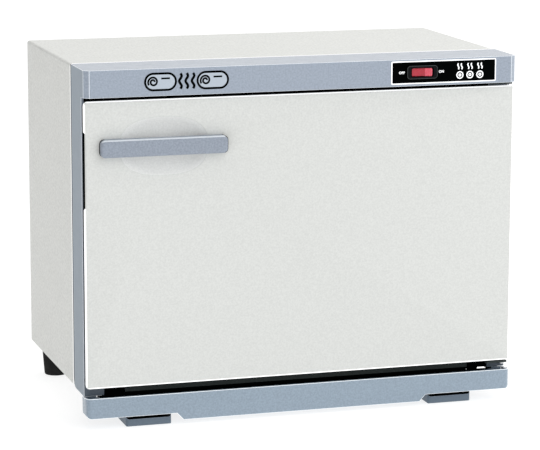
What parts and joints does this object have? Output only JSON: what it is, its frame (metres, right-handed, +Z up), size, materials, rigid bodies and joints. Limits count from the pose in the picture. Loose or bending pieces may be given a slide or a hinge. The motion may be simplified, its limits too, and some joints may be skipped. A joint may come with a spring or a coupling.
{
  "type": "hot towel cabinet",
  "caption": "Countertop hot towel cabinet with a side-hinged insulated door, finger scoop and bar handle, rocker switch on the fascia, wire shelf and a drip tray that draws out to the front.",
  "frame": {"origin": "on the surface the cabinet stands on, under the middle of its bounding box", "axes": "+Z up, -Y towards the front with the door, +X towards the hinge side"},
  "size_m": [0.45, 0.278, 0.36],
  "materials": {
    "case_paint": "satin",
    "door_white": "satin",
    "blue_grey": "satin",
    "dark_plastic": "satin",
    "black_plastic": "satin",
    "red_key": "gloss",
    "rubber": "matte",
    "aluminium": "satin",
    "steel": "satin",
    "wool": "matte",
    "lead": "satin"
  },
  "bodies": {
    "cabinet": {"outer_case": "case_paint", "rear_panel": "case_paint", "base_plate": "steel", "rear_foot_left": "rubber", "rear_foot_right": "rubber", "front_foot_left": "blue_grey", "front_foot_right": "blue_grey", "cord_gland": "black_plastic", "front_frame": "blue_grey", "sill_strip": "dark_plastic", "control_plate": "black_plastic", "switch_housing": "black_plastic", "chamber_liner": "aluminium", "insulation_wrap": "wool", "insulation_rear": "wool", "heater_plate": "aluminium", "heater_element": "steel", "thermal_fuse": "steel", "thermostat": "black_plastic", "terminal_block": "lead", "lead_heater": "lead", "lead_switch": "lead", "shelf_rail_left": "aluminium", "shelf_rail_right": "aluminium", "rear_screw_1": "steel", "rear_screw_2": "steel", "rear_screw_3": "steel", "rear_screw_4": "steel", "magnet_catch": "black_plastic", "hinge_plate_upper": "steel", "hinge_plate_lower": "steel", "hinge_pin_upper": "steel", "hinge_pin_lower": "steel"},
    "door": {"door_panel": "door_white", "door_back_frame": "dark_plastic", "door_inner_panel": "aluminium", "door_gasket": "rubber", "door_insulation": "wool", "handle_bar": "blue_grey", "handle_screw_1": "steel", "handle_screw_2": "steel", "strike_plate": "steel"},
    "switch_key": {"rocker": "red_key"},
    "tray": {"drip_tray": "blue_grey"},
    "shelf": {"wire_shelf": "steel"}
  },
  "joints": [
    {"name": "door_swing", "type": "hinge", "parent": "cabinet", "child": "door", "pos_m": [0.219, -0.1247, 0.1855], "axis": [0, 0, 1], "range_deg": [0, 110]},
    {"name": "switch_tilt", "type": "hinge", "parent": "cabinet", "child": "switch_key", "pos_m": [0.12255, -0.1335, 0.347], "axis": [0, 0, 1], "range_deg": [0, 14]},
    {"name": "tray_slide", "type": "slide", "parent": "cabinet", "child": "tray", "axis": [0, -1, 0], "range_m": [0, 0.06]},
    {"name": "shelf_lift", "type": "slide", "parent": "cabinet", "child": "shelf", "axis": [0, 0, 1], "range_m": [0, 0.015]}
  ]
}
